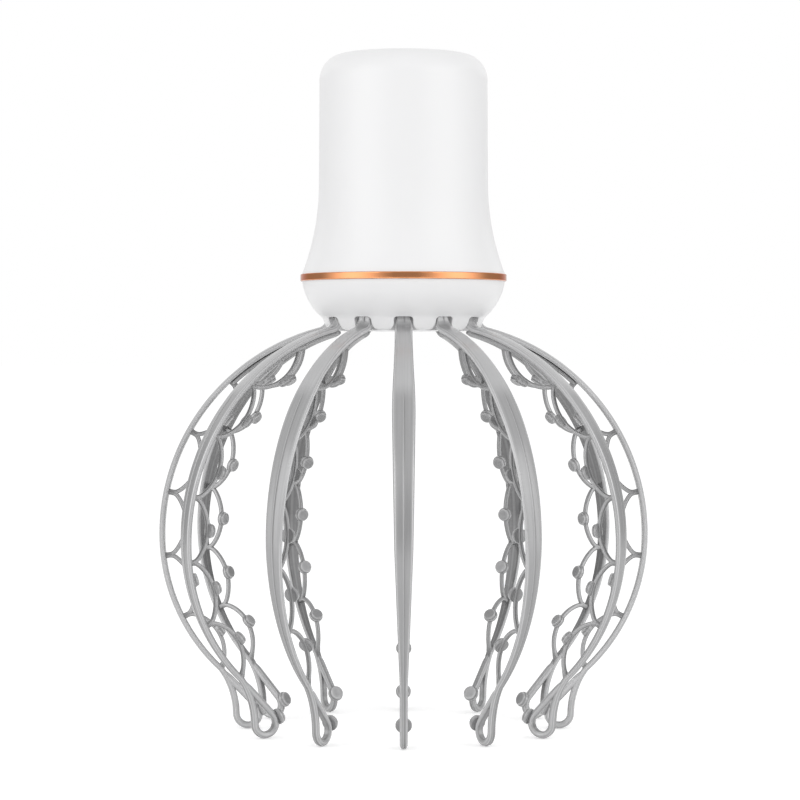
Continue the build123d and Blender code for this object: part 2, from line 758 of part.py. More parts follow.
# ================================ screws ================================
with BuildPart() as housing_screws:
    with BuildSketch(Plane.XY.offset(cover_top)):
        with PolarLocations(screw_ring, screw_count, start_angle=housing_screw_turn):
            Circle(head_radius)
    extrude(amount=head_height)
    with BuildSketch(Plane.XY.offset(cover_top + head_height)):
        with PolarLocations(screw_ring, screw_count, start_angle=housing_screw_turn):
            Circle(shank_radius)
    extrude(amount=motor_face + frame_plate + thread_grip - end_clearance - cover_top - head_height)
housing_screws.part.label = "housing_screws"
export_step(housing_screws.part, "parts/housing_screws.step")

with BuildPart() as cover_screws:
    with BuildSketch(Plane.XY.offset(skirt_foot)):
        with PolarLocations(screw_ring, screw_count, start_angle=cover_screw_turn):
            Circle(head_radius)
    extrude(amount=head_height)
    with BuildSketch(Plane.XY.offset(skirt_foot + head_height)):
        with PolarLocations(screw_ring, screw_count, start_angle=cover_screw_turn):
            Circle(shank_radius)
    extrude(amount=cover_thickness - head_height + cover_boss_height - end_clearance)
cover_screws.part.label = "cover_screws"
export_step(cover_screws.part, "parts/cover_screws.step")

with BuildPart() as retainer_screws:
    retainer_top = pivot_height + retainer_gap + retainer_height
    with BuildSketch(Plane.XY.offset(retainer_top)):
        with PolarLocations(barrel_place, screw_count, start_angle=retainer_screw_turn):
            Circle(head_radius)
    extrude(amount=head_height)
    with BuildSketch(Plane.XY.offset(retainer_top)):
        with PolarLocations(barrel_place, screw_count, start_angle=retainer_screw_turn):
            Circle(shank_radius)
    extrude(amount=cover_top + end_clearance - retainer_top)
retainer_screws.part.label = "retainer_screws"
export_step(retainer_screws.part, "parts/retainer_screws.step")
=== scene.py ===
import json
from math import acos, atan2, ceil, cos, pi, radians, sin, sqrt

import bmesh
import bpy
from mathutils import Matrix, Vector


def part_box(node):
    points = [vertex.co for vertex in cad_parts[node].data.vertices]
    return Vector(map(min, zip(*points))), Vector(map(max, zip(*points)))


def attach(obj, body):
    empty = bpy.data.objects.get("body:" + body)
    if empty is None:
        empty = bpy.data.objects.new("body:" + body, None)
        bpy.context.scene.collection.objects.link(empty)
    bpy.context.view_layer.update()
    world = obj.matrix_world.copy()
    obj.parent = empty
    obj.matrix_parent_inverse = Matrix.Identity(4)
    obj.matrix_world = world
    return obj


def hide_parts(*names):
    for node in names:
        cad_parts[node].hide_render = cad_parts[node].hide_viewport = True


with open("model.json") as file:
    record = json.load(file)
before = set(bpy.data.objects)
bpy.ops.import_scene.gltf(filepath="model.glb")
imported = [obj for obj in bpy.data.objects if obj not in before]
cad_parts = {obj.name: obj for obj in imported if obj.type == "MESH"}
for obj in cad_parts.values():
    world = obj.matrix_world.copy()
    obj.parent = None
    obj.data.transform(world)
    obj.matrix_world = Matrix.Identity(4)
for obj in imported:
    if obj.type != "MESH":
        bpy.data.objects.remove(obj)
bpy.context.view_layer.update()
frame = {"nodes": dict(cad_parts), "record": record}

# Everything below is in metres
mm = 0.001

# ---- claw: the same sizes as the solids, with its edges worked out ----
claw_count = 12
first_claw = -90.0  # degrees
belly_radius = 88.0 * mm
belly_height = 70.0 * mm
lower_bow = 67.0 * mm
neck_radius = 27.9 * mm
neck_length = 3.0 * mm
ankle_bend = 3.4 * mm
pivot_height = 150.8 * mm
spine_thickness = 2.05 * mm
neck_width = 6.2 * mm
neck_foot = 141.8 * mm
shoulder_width = 8.0 * mm
shoulder_height = 116.0 * mm
belly_width = 6.4 * mm
tip_width = 2.8 * mm
tip_height = 22.0 * mm
rib_thickness = 1.7 * mm
rib_width = 3.2 * mm
rib_top = 145.2 * mm
rib_sink = 0.1 * mm  # that the rib runs into the spine
cap_shares = (0.97, 0.85, 0.6, 0.3)  # rings of the rib's round ends, from the tip in
barrel_radius = 2.1 * mm
barrel_length = 9.0 * mm
barrel_sides = 20
barrel_profile = ((-0.5, 0.85), (-0.47, 1.0), (0.47, 1.0), (0.5, 0.85))  # share of the length, of the radius

arch_count = 6
arch_room = 14.1 * mm
fork_drop = 55.3 * mm
arch_depth = 9.5 * mm
stem_depth = 4.4 * mm
rod_radius = 0.78 * mm
rod_sides = 20
rod_square = 2 / 2.8  # 1 gives a rod a round section, and less a squarer one
rod_flare = 0.35 * mm  # a rod is this much thicker at its root
flare_length = 1.6 * mm
arch_gap = 0.4 * mm  # half the distance between an arch's rings
bend_smoothing = 22  # rounds that soften the bends where arches leave their stems
bead_diameter = 5.2 * mm
bead_thickness = 2.3 * mm
bead_offset = 0.9 * mm
bead_sides = 28
bead_eye = 0.001  # share of the radius of the tiny face that closes a bead in its middle

loop_radius = 4.2 * mm
loop_rod = 2.4 * mm
loop_place = 56.1 * mm
loop_gap = 0.6 * mm  # distance between the loop's rings
loop_smoothing = 3
tip_bead_diameter = 5.7 * mm
tip_bead_turn = 158.0  # degrees
tip_bead_offset = 1.8 * mm
fork_blend = 9.0 * mm  # stretch over which the spine thickens into the loop
end_taper = 5.0 * mm  # stretch over which the loop's end thins on its way into the spine
end_share = 0.5  # and what is left of its thickness there

ring_width = 2.45 * mm
ring_round = 0.3 * mm
corner_steps = 4
ring_proud = 0.35 * mm  # that the ring stands out from the shells
ring_lip = 0.2 * mm  # and its lips cover of their edges
ring_sides = 360
ring_sharp = radians(30)  # edges sharper than this aren't smoothed

# ---- edges of the spine's section ----
side_inset = 0.45 * mm  # from the parting line in to the edge of a face
neck_inset = 1.0 * mm
edge_round = 0.35 * mm
face_drop = 0.1 * mm  # from the crest of the centre line down to the face
face_slope = 0.22  # of the crowned face at its edges
line_top = 119.0 * mm  # the centre line runs from here down
line_fade = 3.0 * mm
shoulder_highlight = 0.15  # painted highlight on the shoulder: that the shade drops by above the line
shoulder_highlight_fade = 7.0 * mm
neck_fade = (145.5 * mm, 147.5 * mm)  # the neck's own section starts between these heights
station = 1.2 * mm  # distance between the rings of a sweep
station_turn = radians(7)  # and the most that a bend turns between them
claw_sharp = radians(24)  # edges sharper than this aren't smoothed

# ---- where the solid's sizes lead to ----
belly_in = belly_radius - neck_radius - ankle_bend
belly_down = pivot_height - neck_length - belly_height
upper_bow = (belly_in**2 + belly_down**2 - ankle_bend**2) / (2 * (ankle_bend + belly_in))
ankle_turn = atan2(belly_down, upper_bow - belly_in)
arch_start = upper_bow * ankle_turn - arch_room
arch_pitch = (arch_start + fork_drop) / arch_count
loop_height = loop_radius + loop_rod / 2

# ---- camera and stage ----
image_size = 800  # pixels
focal_pixels = 2900
sensor = 36.0  # camera's own millimetres
camera_distance = 1.044
camera_height = 0.1328
horizon = 360  # pixel row
axis_column = 403.5  # pixel column of the object's axis
axis_scale = 0.36 * mm  # metres per pixel at the axis
card_grey = 0.5
floor_reach = 60.0
floor_glow = 0.3
world_fill = 0.8

# ---- the soft band that the copper ring shows: angles are degrees from its middle ----
band_dim = 0.46
band_bright = 2.0
band_rise = (10, 58)  # from the dim middle to the bright field
band_fall = (60, 108)  # from there to the dim side
band_back = (130, 158)  # and to the back
band_ends = 0.22  # that the back is of the way from dim to bright
band_step = 2

# ---- textures: noise has this many features per metre, and this much detail ----
broad_detail = 3.0
flow_scale = 40.0  # tones of a moulding
polish_scale = 220.0
grain_scale = 3000.0
grain_detail = 2.0
brush_scale = 900.0  # streaks of a metal
brush_detail = 4.0
lacquer_weight = 0.8
floor_scale = 3.0

# ---- the claws' nylon: its shade is 0 for a painted highlight on an edge and 1 for painted shade inside the cage ----
plain_shade = 0.3
claw_tones = (0.57, 0.34, 0.2)  # of the grey at shade 0 (painted highlight), plain_shade and 1 (painted shade)
claw_metallic = 0.35
claw_roughness = (0.22, 0.29)
claw_polish_scale = 300.0
claw_grain_scale = 4000.0
claw_grain = 0.003 * mm
# Features per metre, detail, stretch, depth: clouds, and streaks along the claw
claw_wear = ((60.0, broad_detail, (1, 1, 1), 0.05), (1400.0, 2.0, (0.02, 1, 0.02), 0.12))
edge_highlights = ((0, 0.22), (1 / 3, 0.05), (2 / 3, 0.05), (1, 0.25))  # painted highlight round an edge: share of the way round it, shade
# A painted highlight along the parting line
parting_highlight = 0.02
rod_shade = 0.2  # on the sides of a rod
rod_crease_shade = 0.75  # and painted shade on the side that faces the spine
rod_inside_shade = 0.25  # painted shade that the side inside the cage adds
rod_turn = (0.35, 0.95)  # where a rod's section turns from its sides to the others
root_shade = 0.45  # painted shade that a rod's root adds to its sides
# Painted shade on the side of the rib that faces the spine
rib_crease_shade = 0.9


# ================================ materials ================================
def start_material(name, roughness, metallic=0.0):
    """A new material with its Principled shader."""
    material = bpy.data.materials.new(name)
    material.use_nodes = True
    shader = material.node_tree.nodes["Principled BSDF"]
    shader.inputs["Roughness"].default_value = roughness
    shader.inputs["Metallic"].default_value = metallic
    return material, shader


def noise(material, scale, detail=broad_detail, stretch=(1, 1, 1)):
    """Noise in the object's own coordinates. Scale counts features per metre."""
    nodes, links = material.node_tree.nodes, material.node_tree.links
    place = nodes.new("ShaderNodeTexCoord")
    mapping = nodes.new("ShaderNodeMapping")
    mapping.inputs["Scale"].default_value = stretch
    texture = nodes.new("ShaderNodeTexNoise")
    texture.inputs["Scale"].default_value = scale
    texture.inputs["Detail"].default_value = detail
    links.new(place.outputs["Object"], mapping.inputs["Vector"])
    links.new(mapping.outputs["Vector"], texture.inputs["Vector"])
    return texture.outputs["Fac"]


def colour_mix(material, blend):
    """A mix node with its two colour inputs and its colour output."""
    mix = material.node_tree.nodes.new("ShaderNodeMix")
    mix.data_type, mix.blend_type = "RGBA", blend
    first, second = [socket for socket in mix.inputs if socket.type == "RGBA"]
    result = [socket for socket in mix.outputs if socket.type == "RGBA"][0]
    return mix, first, second, result


def blend_colours(material, factor, colour, shade):
    """A colour between two, by a factor from 0 to 1."""
    mix, first, second, result = colour_mix(material, "MIX")
    first.default_value, second.default_value = (*colour, 1), (*shade, 1)
    material.node_tree.links.new(factor, mix.inputs["Factor"])
    return result


def span(material, value, low, high):
    """Maps a value from 0..1 onto low..high."""
    node = material.node_tree.nodes.new("ShaderNodeMapRange")
    node.inputs["To Min"].default_value = low
    node.inputs["To Max"].default_value = high
    material.node_tree.links.new(value, node.inputs["Value"])
    return node.outputs["Result"]


def bump(material, shader, height, depth):
    """Relief of this depth, in metres."""
    node = material.node_tree.nodes.new("ShaderNodeBump")
    node.inputs["Distance"].default_value = depth
    material.node_tree.links.new(height, node.inputs["Height"])
    material.node_tree.links.new(node.outputs["Normal"], shader.inputs["Normal"])


def plastic(name, colour, shade, roughness, spread, grain):
    """Moulded plastic: two close tones, uneven polish and a fine grain."""
    material, shader = start_material(name, roughness)
    links = material.node_tree.links
    tone = blend_colours(material, noise(material, flow_scale), colour, shade)
    links.new(tone, shader.inputs["Base Color"])
    polish = span(material, noise(material, polish_scale), roughness - spread, roughness + spread)
    links.new(polish, shader.inputs["Roughness"])
    if grain:
        bump(material, shader, noise(material, grain_scale, grain_detail), grain)
    return material


def metal(name, colour, shade, roughness, spread, stretch, coat_ior):
    """Brushed or plated metal with streaks along one direction, lacquered where it has a coat."""
    material, shader = start_material(name, roughness, 1.0)
    links = material.node_tree.links
    streaks = noise(material, brush_scale, brush_detail, stretch)
    links.new(blend_colours(material, streaks, colour, shade), shader.inputs["Base Color"])
    links.new(span(material, streaks, roughness - spread, roughness + spread), shader.inputs["Roughness"])
    if coat_ior:
        shader.inputs["Coat Weight"].default_value = lacquer_weight
        shader.inputs["Specular Tint"].default_value = (*shade, 1)
        shader.inputs["Coat IOR"].default_value = coat_ior
        shader.inputs["Coat Roughness"].default_value = roughness
    return material


def claw_plastic():
    """Satin grey nylon with painted highlights along its edges, and painted shade in its creases and on the
    faces inside the cage.
    """
    material, shader = start_material("claw_grey", 0.3, claw_metallic)
    nodes, links = material.node_tree.nodes, material.node_tree.links
    shade = nodes.new("ShaderNodeAttribute")
    shade.attribute_name = "shade"
    tones = nodes.new("ShaderNodeValToRGB")
    tones.color_ramp.elements.new(plain_shade)
    for element, tone in zip(tones.color_ramp.elements, claw_tones):
        element.color = (tone, tone, tone * 1.01, 1)
    links.new(shade.outputs["Fac"], tones.inputs["Fac"])
    colour = tones.outputs["Color"]
    for scale, detail, stretch, depth in claw_wear:
        texture = noise(material, scale, detail, stretch)
        product, first, second, result = colour_mix(material, "MULTIPLY")
        product.inputs["Factor"].default_value = 1.0
        links.new(colour, first)
        links.new(blend_colours(material, texture, (1 - depth,) * 3, (1 + depth,) * 3), second)
        colour = result
    links.new(colour, shader.inputs["Base Color"])
    links.new(span(material, noise(material, claw_polish_scale), *claw_roughness), shader.inputs["Roughness"])
    bump(material, shader, noise(material, claw_grain_scale, grain_detail), claw_grain)
    return material


# Slot: colour, its other shade, roughness, its spread, depth of the grain
plastics = {
    "white_shell": ((0.80, 0.80, 0.805), (0.815, 0.815, 0.82), 0.3, 0.03, 0),
    "white_button": ((0.78, 0.78, 0.785), (0.80, 0.80, 0.805), 0.32, 0.04, 0),
    "white_inner": ((0.70, 0.70, 0.69), (0.74, 0.74, 0.73), 0.5, 0.05, 0.01 * mm),
    "seal_rubber": ((0.02, 0.02, 0.02), (0.035, 0.035, 0.035), 0.75, 0.08, 0.02 * mm),
    "clear_band": ((0.74, 0.77, 0.79), (0.79, 0.82, 0.84), 0.25, 0.03, 0),
    "black_plastic": ((0.02, 0.02, 0.02), (0.03, 0.03, 0.03), 0.5, 0.05, 0),
    "circuit_board": ((0.015, 0.12, 0.04), (0.02, 0.17, 0.06), 0.4, 0.06, 0),
    "battery_wrap": ((0.03, 0.10, 0.32), (0.04, 0.12, 0.36), 0.3, 0.04, 0),
}

# Slot: colour, its other shade, roughness, its spread, stretch of the streaks, IOR of the lacquer
metals = {
    "copper_trim": ((0.66, 0.25, 0.09), (0.70, 0.28, 0.105), 0.1, 0.02, (0.05, 0.05, 4), 1.6),
    "steel": ((0.52, 0.52, 0.53), (0.62, 0.62, 0.63), 0.3, 0.06, (1, 1, 0.1), 0),
    "weight_brass": ((0.62, 0.44, 0.17), (0.70, 0.51, 0.22), 0.3, 0.06, (1, 1, 0.1), 0),
}


def make_materials():
    """Every material slot of the record, by name."""
    made = {name: plastic(name, *values) for name, values in plastics.items()}
    made.update({name: metal(name, *values) for name, values in metals.items()})
    made["claw_grey"] = claw_plastic()
    return made


def dress_nodes(materials):
    """Gives each CAD node the material that the record names for it."""
    for part in frame["record"]["subparts"]:
        node = frame["nodes"].get(part["node"])
        if node:
            node.data.materials.clear()
            node.data.materials.append(materials[part["material_slot"]])


# ================================ claw ================================
def arc(centre, radius, start, end, outward=1):
    """Places along an arc, with the direction that its outside faces. Angles are in radians."""
    turned = abs(end - start)
    count = max(round(turned * radius / station), ceil(turned / station_turn))
    places = []
    for i in range(count):
        turn = start + (end - start) * i / count
        facing = (outward * cos(turn), outward * sin(turn))
        places.append((centre[0] + radius * cos(turn), centre[1] + radius * sin(turn), *facing))
    return places


def spine_face():
    """Stations down the spine's outer face, from the barrel head to the fork."""
    upper = (belly_radius - upper_bow, belly_height)
    lower = (belly_radius - lower_bow, belly_height)
    ankle = (neck_radius + ankle_bend, pivot_height - neck_length)
    neck_steps = 4
    neck = [(neck_radius, pivot_height - neck_length * i / neck_steps, 1, 0) for i in range(neck_steps)]
    return (
        neck
        + arc(ankle, ankle_bend, pi, pi + ankle_turn, outward=-1)
        + arc(upper, upper_bow, ankle_turn, 0)
        + arc(lower, lower_bow, 0, -fork_drop / lower_bow)
    )


def spine_point(reach, depth):
    """The place this far along the spine from its belly, and this deep under its outer face."""
    bow = upper_bow if reach > 0 else lower_bow
    turn = reach / bow
    return (belly_radius - bow + (bow - depth) * cos(turn), belly_height + (bow - depth) * sin(turn))


def between(value, low, high):
    """0 below low, 1 above high, and smooth between."""
    share = min(max((value - low) / (high - low), 0), 1)
    return share * share * (3 - 2 * share)


def spine_width(height):
    """Full width of the spine at a height."""
    if height > neck_foot:
        return neck_width
    if height > shoulder_height:
        return shoulder_width + (neck_width - shoulder_width) * between(height, shoulder_height, neck_foot)
    if height > belly_height:
        share = (height - belly_height) / (shoulder_height - belly_height)
        return belly_width + (shoulder_width - belly_width) * share
    share = max((height - tip_height) / (belly_height - tip_height), 0)
    return tip_width + (belly_width - tip_width) * share


def add_sweep(mesh, shade, rings):
    """Joins rings of points into a closed skin. Each point is (x, y, z, shade)."""
    made = []
    for ring in rings:
        row = [mesh.verts.new(point[:3]) for point in ring]
        for vertex, point in zip(row, ring):
            vertex[shade] = point[3]
        made.append(row)
    count = len(made[0])
    for first, second in zip(made, made[1:]):
        for i in range(count):
            j = (i + 1) % count
            mesh.faces.new((first[i], first[j], second[j], second[i]))
    mesh.faces.new(made[0][::-1])
    mesh.faces.new(made[-1])


# The line down the middle of the spine's face, a step with a groove beside it, with a painted highlight on
# its crest and painted shade in the groove: across, drop, shade
line_profile = [
    (-0.62 * mm, 0.10 * mm, 0.34), (-0.34 * mm, 0.04 * mm, 0.3), (-0.08 * mm, 0, 0.16),
    (0.16 * mm, 0.2 * mm, 0.62), (0.38 * mm, 0.14 * mm, 0.5), (0.6 * mm, 0.10 * mm, 0.36),
]


# Tones across the inside of the spine, as shares of its painted shade: share of its half width, share of the
# tone
inner_streaks = [(0.7, 0.85), (0.35, 1.0), (0.12, 0.6), (-0.08, 0.7), (-0.25, 1.0), (-0.65, 0.9)]


def spine_ring(place, width, thickness, line, neck, inside, plain=plain_shade):
    """The section round a place on the centre line: a flat bar whose sides meet on a parting line, with
    painted highlights on its edges and painted shade inside the cage.
    """
    x, z, out_x, out_z = place
    half, reach = thickness / 2, width / 2
    inset = side_inset + (neck_inset - side_inset) * neck
    face = reach - inset
    bend = face_slope * (1 - neck) / (2 * face)
    level = half - face_drop * line - bend * face**2
    middle = [
        (across, half - drop * line - bend * across**2, plain + (tone - plain_shade) * line)
        for across, drop, tone in line_profile
    ]
    run = sqrt(inset**2 + level**2)
    start = face - edge_round / 2
    before = (start, half - face_drop * line - bend * start**2)
    flank = []
    foot = line_profile[-1][0]
    for share in (0.25, 0.5, 0.75):
        across = foot + (start - foot) * share
        flank.append((across, half - face_drop * line - bend * across**2, plain))
    corner = (reach - inset, level)
    after = (corner[0] + inset / run * edge_round, level - level / run * edge_round)
    edge = []
    for share, tone in edge_highlights:
        weights = ((1 - share) ** 2, 2 * share * (1 - share), share**2)
        across, lift = (sum(w * p[k] for w, p in zip(weights, (before, corner, after))) for k in (0, 1))
        edge.append((across, lift, tone))
    # The inner edge: a painted highlight above the centre line, painted shade below it and towards the inside
    inner_tones = (inside, 0.4 + 0.4 * line, 0.4 * line, 0.2)
    inner_edge = [
        (across, max(level - half - lift, -half), tone) for (across, lift, _), tone in zip(edge, inner_tones)
    ]
    right = flank + edge + [(reach, 0, parting_highlight)] + inner_edge[::-1]
    left = [(-across, lift, tone) for across, lift, tone in right[::-1]]
    ring = []
    under = [(start * share, -half, inside * tone) for share, tone in inner_streaks]
    for across, lift, tone in middle + right + under + left:
        ring.append((x + out_x * lift, across, z + out_z * lift, tone))
    return ring


def rod_ring(place, reach, half, side_shade=rod_shade, crease_shade=rod_crease_shade):
    """A squarish section round a place on a rod's centre line, with painted shade on the side that faces the
    spine and on the side inside the cage.
    """
    x, z, out_x, out_z = place
    ring = []
    for i in range(rod_sides):
        turn = 2 * pi * i / rod_sides
        across, up = cos(turn), sin(turn)
        depth = half * abs(up) ** rod_square * (1 if up > 0 else -1)
        side = reach * abs(across) ** rod_square * (1 if across > 0 else -1)
        tone = side_shade + (crease_shade - side_shade) * between(up, *rod_turn)
        tone += rod_inside_shade * between(-up, *rod_turn)
        ring.append((x + out_x * depth, side, z + out_z * depth, tone))
    return ring


def along(points):
    """Stations on a line through these points, each with the direction to the left of the way it runs."""
    places = []
    for i, (x, z) in enumerate(points):
        before = points[max(i - 1, 0)]
        after = points[min(i + 1, len(points) - 1)]
        run_x, run_z = after[0] - before[0], after[1] - before[1]
        size = sqrt(run_x**2 + run_z**2)
        places.append((x, z, -run_z / size, run_x / size))
    return places


def densely(points, gap):
    """Points every gap or so along a line of points."""
    made = [points[0]]
    for first, second in zip(points, points[1:]):
        length = sqrt((second[0] - first[0]) ** 2 + (second[1] - first[1]) ** 2)
        count = max(1, round(length / gap))
        for i in range(1, count + 1):
            share = i / count
            made.append(tuple(start + (end - start) * share for start, end in zip(first, second)))
    return made


def soften(points, rounds):
    """Rounds off the corners of a line and keeps its ends."""
    for _ in range(rounds):
        middle = [
            ((a[0] + 2 * b[0] + c[0]) / 4, (a[1] + 2 * b[1] + c[1]) / 4)
            for a, b, c in zip(points, points[1:], points[2:])
        ]
        points = [points[0]] + middle + [points[-1]]
    return points


def three_point_arc(start, middle, end):
    """Points on the arc through three places."""
    count = 24
    (ax, az), (bx, bz), (cx, cz) = start, middle, end
    d = 2 * (ax * (bz - cz) + bx * (cz - az) + cx * (az - bz))
    a2, b2, c2 = ax**2 + az**2, bx**2 + bz**2, cx**2 + cz**2
    mid_x = (a2 * (bz - cz) + b2 * (cz - az) + c2 * (az - bz)) / d
    mid_z = (a2 * (cx - bx) + b2 * (ax - cx) + c2 * (bx - ax)) / d
    radius = sqrt((ax - mid_x) ** 2 + (az - mid_z) ** 2)
    first = atan2(az - mid_z, ax - mid_x)
    last = atan2(cz - mid_z, cx - mid_x)
    sweep = (last - first + pi) % (2 * pi) - pi
    turns = [first + sweep * i / count for i in range(count + 1)]
    return [(mid_x + radius * cos(turn), mid_z + radius * sin(turn)) for turn in turns]


def loop_line():
    """The loop's centre line: down from the fork, round the bottom and straight back up."""
    fork = spine_point(-fork_drop, spine_thickness / 2)
    across, up = fork[0] - loop_place, fork[1] - loop_height
    back_turn = atan2(up, across) + acos(loop_radius / sqrt(across**2 + up**2))
    low = (loop_place + loop_radius, loop_height)
    # The arc from the bottom circle's outer side, straight up at first, through the fork
    rise, lean = fork[1] - low[1], fork[0] - low[0]
    bow = (rise**2 + lean**2) / (2 * lean)
    full = atan2(rise, bow - lean)
    side_steps, circle_steps = 14, 40
    side = [
        (low[0] + bow - bow * cos(full * i / side_steps), low[1] + bow * sin(full * i / side_steps))
        for i in range(side_steps, 0, -1)
    ]
    circle = [
        (loop_place + loop_radius * cos(turn), loop_height + loop_radius * sin(turn))
        for turn in [(back_turn - 2 * pi) * i / circle_steps for i in range(circle_steps + 1)]
    ]
    return soften(densely(side + circle + [fork], loop_gap), loop_smoothing)


def add_spine(mesh, shade):
    """The spine, which runs on round the loop and back to the fork."""
    half = spine_thickness / 2
    rings = []
    for x, z, out_x, out_z in spine_face():
        place = (x - out_x * half, z - out_z * half, out_x, out_z)
        line = 1 - between(z, line_top, line_top + line_fade)
        neck = between(z, *neck_fade)
        # A painted highlight on the shoulder, above the centre line
        plain = plain_shade - shoulder_highlight * between(z, line_top, line_top + shoulder_highlight_fade)
        rings.append(spine_ring(place, spine_width(z), spine_thickness, max(line, neck), neck, 1.0, plain))
    line = loop_line()
    fork_height = line[0][1]
    lowest = min(range(len(line)), key=lambda i: line[i][1])
    for i, place in enumerate(along(line)):
        grown = between(fork_height - place[1], 0, fork_blend) if i < lowest else 1
        from_end = sqrt((place[0] - line[-1][0]) ** 2 + (place[1] - line[-1][1]) ** 2)
        left = end_share + (1 - end_share) * between(from_end, 0, end_taper) if i > lowest else 1
        thickness = (spine_thickness + (loop_rod - spine_thickness) * grown) * left
        # Round the loop the painted shade inside the cage is up to half as deep
        rings.append(spine_ring(place, tip_width * sqrt(left), thickness, 1, 0, 1.0 - 0.5 * grown))
    add_sweep(mesh, shade, rings)


def add_rib(mesh, shade):
    """The rib under the neck and the shoulder, with blunt rounded ends."""
    centre = (belly_radius - upper_bow, belly_height)
    end = (arch_start - arch_pitch) / upper_bow
    places = []
    for x, z, out_x, out_z in spine_face():
        turn = atan2(z - centre[1], x - centre[0])
        if z < rib_top and turn > end and z > belly_height:
            depth = spine_thickness + rib_thickness / 2 - rib_sink
            places.append((x - out_x * depth, z - out_z * depth, out_x, out_z))
    rings = []
    half = rib_thickness / 2
    ends = ((places[0], -1), (places[-1], 1))
    for (x, z, out_x, out_z), way in ends:
        cap = []
        for share in cap_shares:
            ahead = way * share * half
            moved = (x + out_z * ahead, z - out_x * ahead, out_x, out_z)
            size = sqrt(1 - share**2)
            reach = (rib_width + (size - 1) * rib_thickness) / 2
            cap.append(rod_ring(moved, reach, half * size, crease_shade=rib_crease_shade))
        if way < 0:
            rings += cap + [rod_ring(place, rib_width / 2, half, crease_shade=rib_crease_shade) for place in places]
        else:
            rings += cap[::-1]
    add_sweep(mesh, shade, rings)


def add_arches(mesh, shade):
    """Arches that leave the spine on a stem, bow inwards and come back on the next stem."""
    depths = [spine_thickness + rib_thickness / 2] + [stem_depth] * (arch_count - 1) + [spine_thickness / 2]
    reaches = [arch_start - i * arch_pitch for i in range(arch_count + 1)]
    for i in range(arch_count):
        start, end = spine_point(reaches[i], depths[i]), spine_point(reaches[i + 1], depths[i + 1])
        middle = spine_point((reaches[i] + reaches[i + 1]) / 2, arch_depth)
        line = [spine_point(reaches[i], spine_thickness / 2)] + three_point_arc(start, middle, end)
        if i < arch_count - 1:
            line.append(spine_point(reaches[i + 1], spine_thickness / 2))
        line = soften(densely(line, arch_gap), bend_smoothing)[::2]
        rings = []
        for k, place in enumerate(along(line)):
            from_end = min(k, len(line) - 1 - k) * 2 * arch_gap
            root = 1 - between(from_end, 0, flare_length + stem_depth - spine_thickness)
            half = rod_radius + rod_flare * root
            # Painted shade deepens towards a rod's root, where it meets the spine
            rings.append(rod_ring(place, half, half, rod_shade + root_shade * root))
        add_sweep(mesh, shade, rings)


# A bead from the middle of its face to its back, with painted highlights on its rims and painted shade in its
# step: share of the radius, share of the thickness, shade
bead_profile = [
    (0.0, 0.46, 0.5), (0.40, 0.47, 0.45), (0.66, 0.5, 0.35), (0.80, 0.47, 0.15), (0.87, 0.38, 0.12),
    (0.90, 0.26, 0.35), (0.905, 0.12, 0.65), (0.93, 0.08, 0.65), (0.98, 0.05, 0.3), (1.0, -0.02, 0.12),
    (1.0, -0.36, 0.35), (0.97, -0.46, 0.35), (0.88, -0.5, 0.45), (0.0, -0.5, 0.45),
]


def add_bead(mesh, shade, place, turn, diameter):
    """A stepped puck whose face looks into the cage. Turn is the direction of its back."""
    rings = []
    for share, level, tone in bead_profile:
        depth = -level * bead_thickness
        reach = max(share, bead_eye) * diameter / 2
        ring = []
        for i in range(bead_sides):
            up, across = reach * sin(2 * pi * i / bead_sides), reach * cos(2 * pi * i / bead_sides)
            x = place[0] + cos(turn) * depth - sin(turn) * up
            z = place[1] + sin(turn) * depth + cos(turn) * up
            ring.append((x, across, z, tone))
        rings.append(ring)
    add_sweep(mesh, shade, rings)


def add_barrel(mesh, shade):
    """The barrel head at the top of the neck, which lies across it."""
    centre = neck_radius - spine_thickness / 2
    turns = [2 * pi * i / barrel_sides for i in range(barrel_sides)]
    rings = []
    for across, size in barrel_profile:
        side, reach = barrel_length * across, barrel_radius * size
        rings.append(
            [
                (centre + reach * cos(turn), side, pivot_height + reach * sin(turn), plain_shade)
                for turn in turns
            ]
        )
    add_sweep(mesh, shade, rings)


def claw_mesh(material):
    """One claw that points along +X."""
    mesh = bmesh.new()
    shade = mesh.verts.layers.float.new("shade")
    add_spine(mesh, shade)
    add_rib(mesh, shade)
    add_arches(mesh, shade)
    for i in range(arch_count):
        reach = arch_start - (i + 0.5) * arch_pitch
        bow = upper_bow if reach > 0 else lower_bow
        add_bead(mesh, shade, spine_point(reach, arch_depth + bead_offset), reach / bow, bead_diameter)
    turn = radians(tip_bead_turn)
    out = loop_radius + tip_bead_offset
    tip = (loop_place + out * cos(turn), loop_height + out * sin(turn))
    add_bead(mesh, shade, tip, turn + pi, tip_bead_diameter)
    add_barrel(mesh, shade)
    bmesh.ops.recalc_face_normals(mesh, faces=mesh.faces)
    for face in mesh.faces:
        face.smooth = True
    data = bpy.data.meshes.new("claw")
    mesh.to_mesh(data)
    mesh.free()
    data.set_sharp_from_angle(angle=claw_sharp)
    data.materials.append(material)
    return data


def make_claws(material):
    """Twelve claws, each in place of its CAD node."""
    data = claw_mesh(material)
    for number in range(1, claw_count + 1):
        node = f"claw_{number:02d}"
        claw = bpy.data.objects.new(f"{node}_skin", data)
        bpy.context.scene.collection.objects.link(claw)
        claw.rotation_euler = (0, 0, radians(first_claw + (number - 1) * 360 / claw_count))
        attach(claw, node)
        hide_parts(node)


